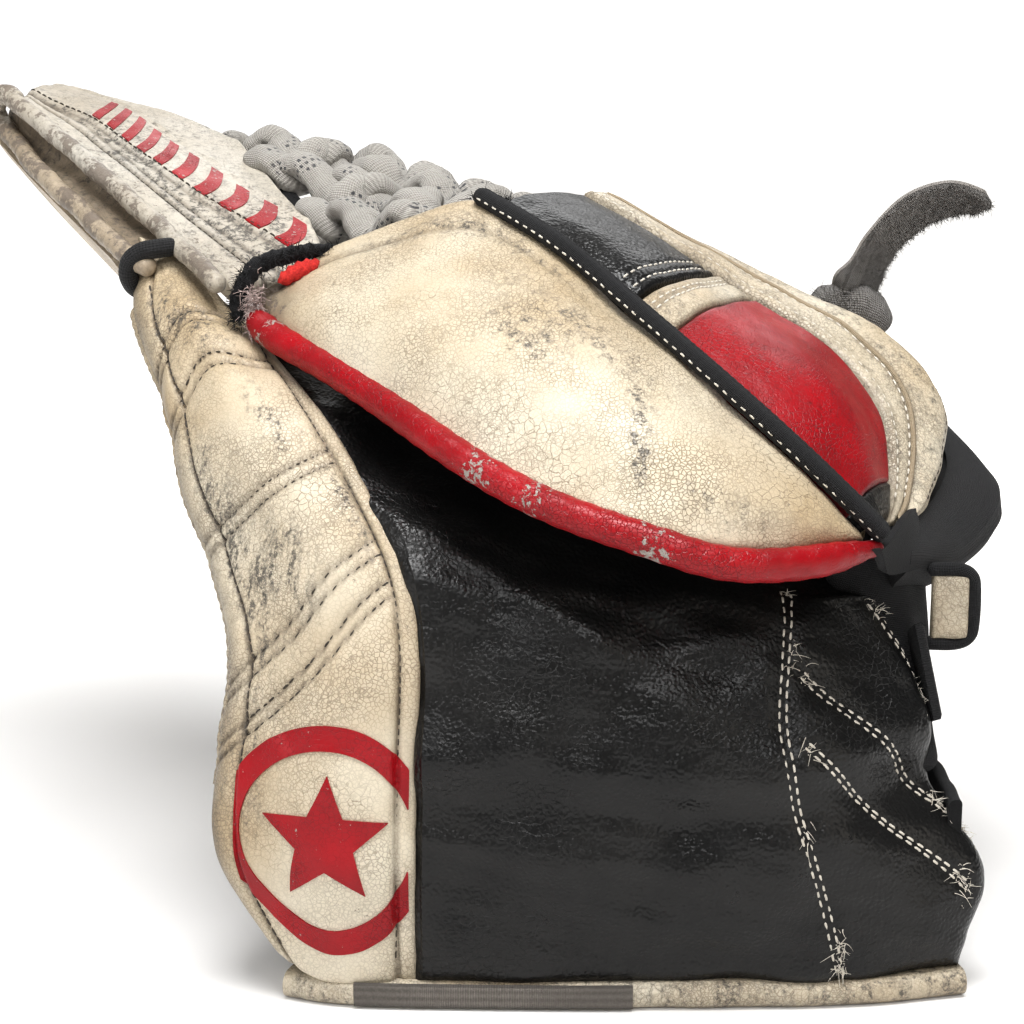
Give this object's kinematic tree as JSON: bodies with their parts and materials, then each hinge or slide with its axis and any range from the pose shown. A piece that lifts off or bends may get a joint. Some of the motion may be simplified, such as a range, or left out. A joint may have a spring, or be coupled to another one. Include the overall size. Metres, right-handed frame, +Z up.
{
  "type": "goalie catch glove",
  "caption": "Folded ice hockey goalie catch glove standing on its cuff, with padded thumb, palm, finger flange, laced pocket and hand strap.",
  "frame": {"origin": "centre of the bounding box on the floor that the cuff stands on", "axes": "+X towards the little-finger side, +Y away from the catching side, +Z up"},
  "size_m": [0.3197, 0.2533, 0.2397],
  "materials": {
    "white_leather": "worn off-white synthetic leather, crazed, with black scuffs",
    "black_leather": "pebbled black synthetic leather, soft sheen",
    "red_leather": "worn glossy red synthetic leather, chipped at the edge",
    "nylon": "black woven nylon",
    "elastic": "black elastic band",
    "name_patch": "plain grey-brown sewn patch",
    "piping": "tan corded piping",
    "lace": "grey braided lace with small dark flecks",
    "hook_and_loop": "dark grey fuzzy hook-and-loop tape",
    "plastic_sheet": "dark stiffening sheet",
    "lining": "dark brushed lining"
  },
  "bodies": {
    "palm_half": {"cuff_base_roll": "white_leather", "name_patch": "name_patch", "cuff_thumb_pad": "white_leather", "thumb_block_1": "white_leather", "thumb_block_2": "white_leather", "thumb_block_3": "white_leather", "thumb_block_4": "white_leather", "thumb_block_5": "white_leather", "thumb_stiffener": "plastic_sheet", "thumb_stall": "lining", "cuff_palm_pad": "black_leather", "palm_pad": "black_leather", "cuff_stiffener": "plastic_sheet", "palm_liner": "lining", "thumb_edge_strip": "white_leather", "wrist_pad": "black_leather", "wrist_pad_roll": "white_leather", "thumb_side_gusset": "nylon", "cuff_side_gusset": "nylon", "wrist_strap": "nylon", "t_thumb_half": "white_leather", "t_thumb_roll": "white_leather", "thumb_tip_band": "elastic"},
    "finger_half": {"flange_pad": "white_leather", "dorsal_index_panel": "black_leather", "dorsal_stripe": "white_leather", "dorsal_middle_panel": "red_leather", "dorsal_heel_panel": "black_leather", "border_band": "white_leather", "side_panel": "white_leather", "border_piping": "piping", "dorsal_shell": "plastic_sheet", "finger_liner": "lining", "flange_binding": "nylon", "red_edge_roll": "red_leather", "finger_face": "black_leather", "index_wall": "black_leather", "heel_gusset": "nylon", "pinky_side_pad": "nylon", "t_finger_half": "white_leather", "t_finger_roll": "white_leather", "t_stripe_band": "white_leather", "pocket_lace_1": "lace", "pocket_lace_2": "lace", "pocket_lace_3": "lace", "pocket_lace_4": "lace", "pocket_lace_5": "lace", "strap_base": "nylon"},
    "wrist_tab": {"wrist_tab_binding": "nylon", "wrist_tab": "white_leather"},
    "hand_strap": {"hand_strap": "hook_and_loop"}
  },
  "joints": [
    {"name": "palm_break", "type": "hinge", "parent": "palm_half", "child": "finger_half", "pos_m": [0.108, -0.0794, 0.117], "axis": [-0.7931, 0.4934, 0.3572], "range_deg": [0, 40]},
    {"name": "hand_strap_root", "type": "hinge", "parent": "finger_half", "child": "hand_strap", "pos_m": [0.114, 0.0246, 0.176], "axis": [0.4574, 0.7626, -0.4574], "range_deg": [-25, 25]},
    {"name": "wrist_tab_root", "type": "hinge", "parent": "palm_half", "child": "wrist_tab", "pos_m": [0.123, -0.0674, 0.1015], "axis": [0, 0, 1], "range_deg": [-30, 40], "stiffness_Nm_per_rad": 0.01}
  ]
}
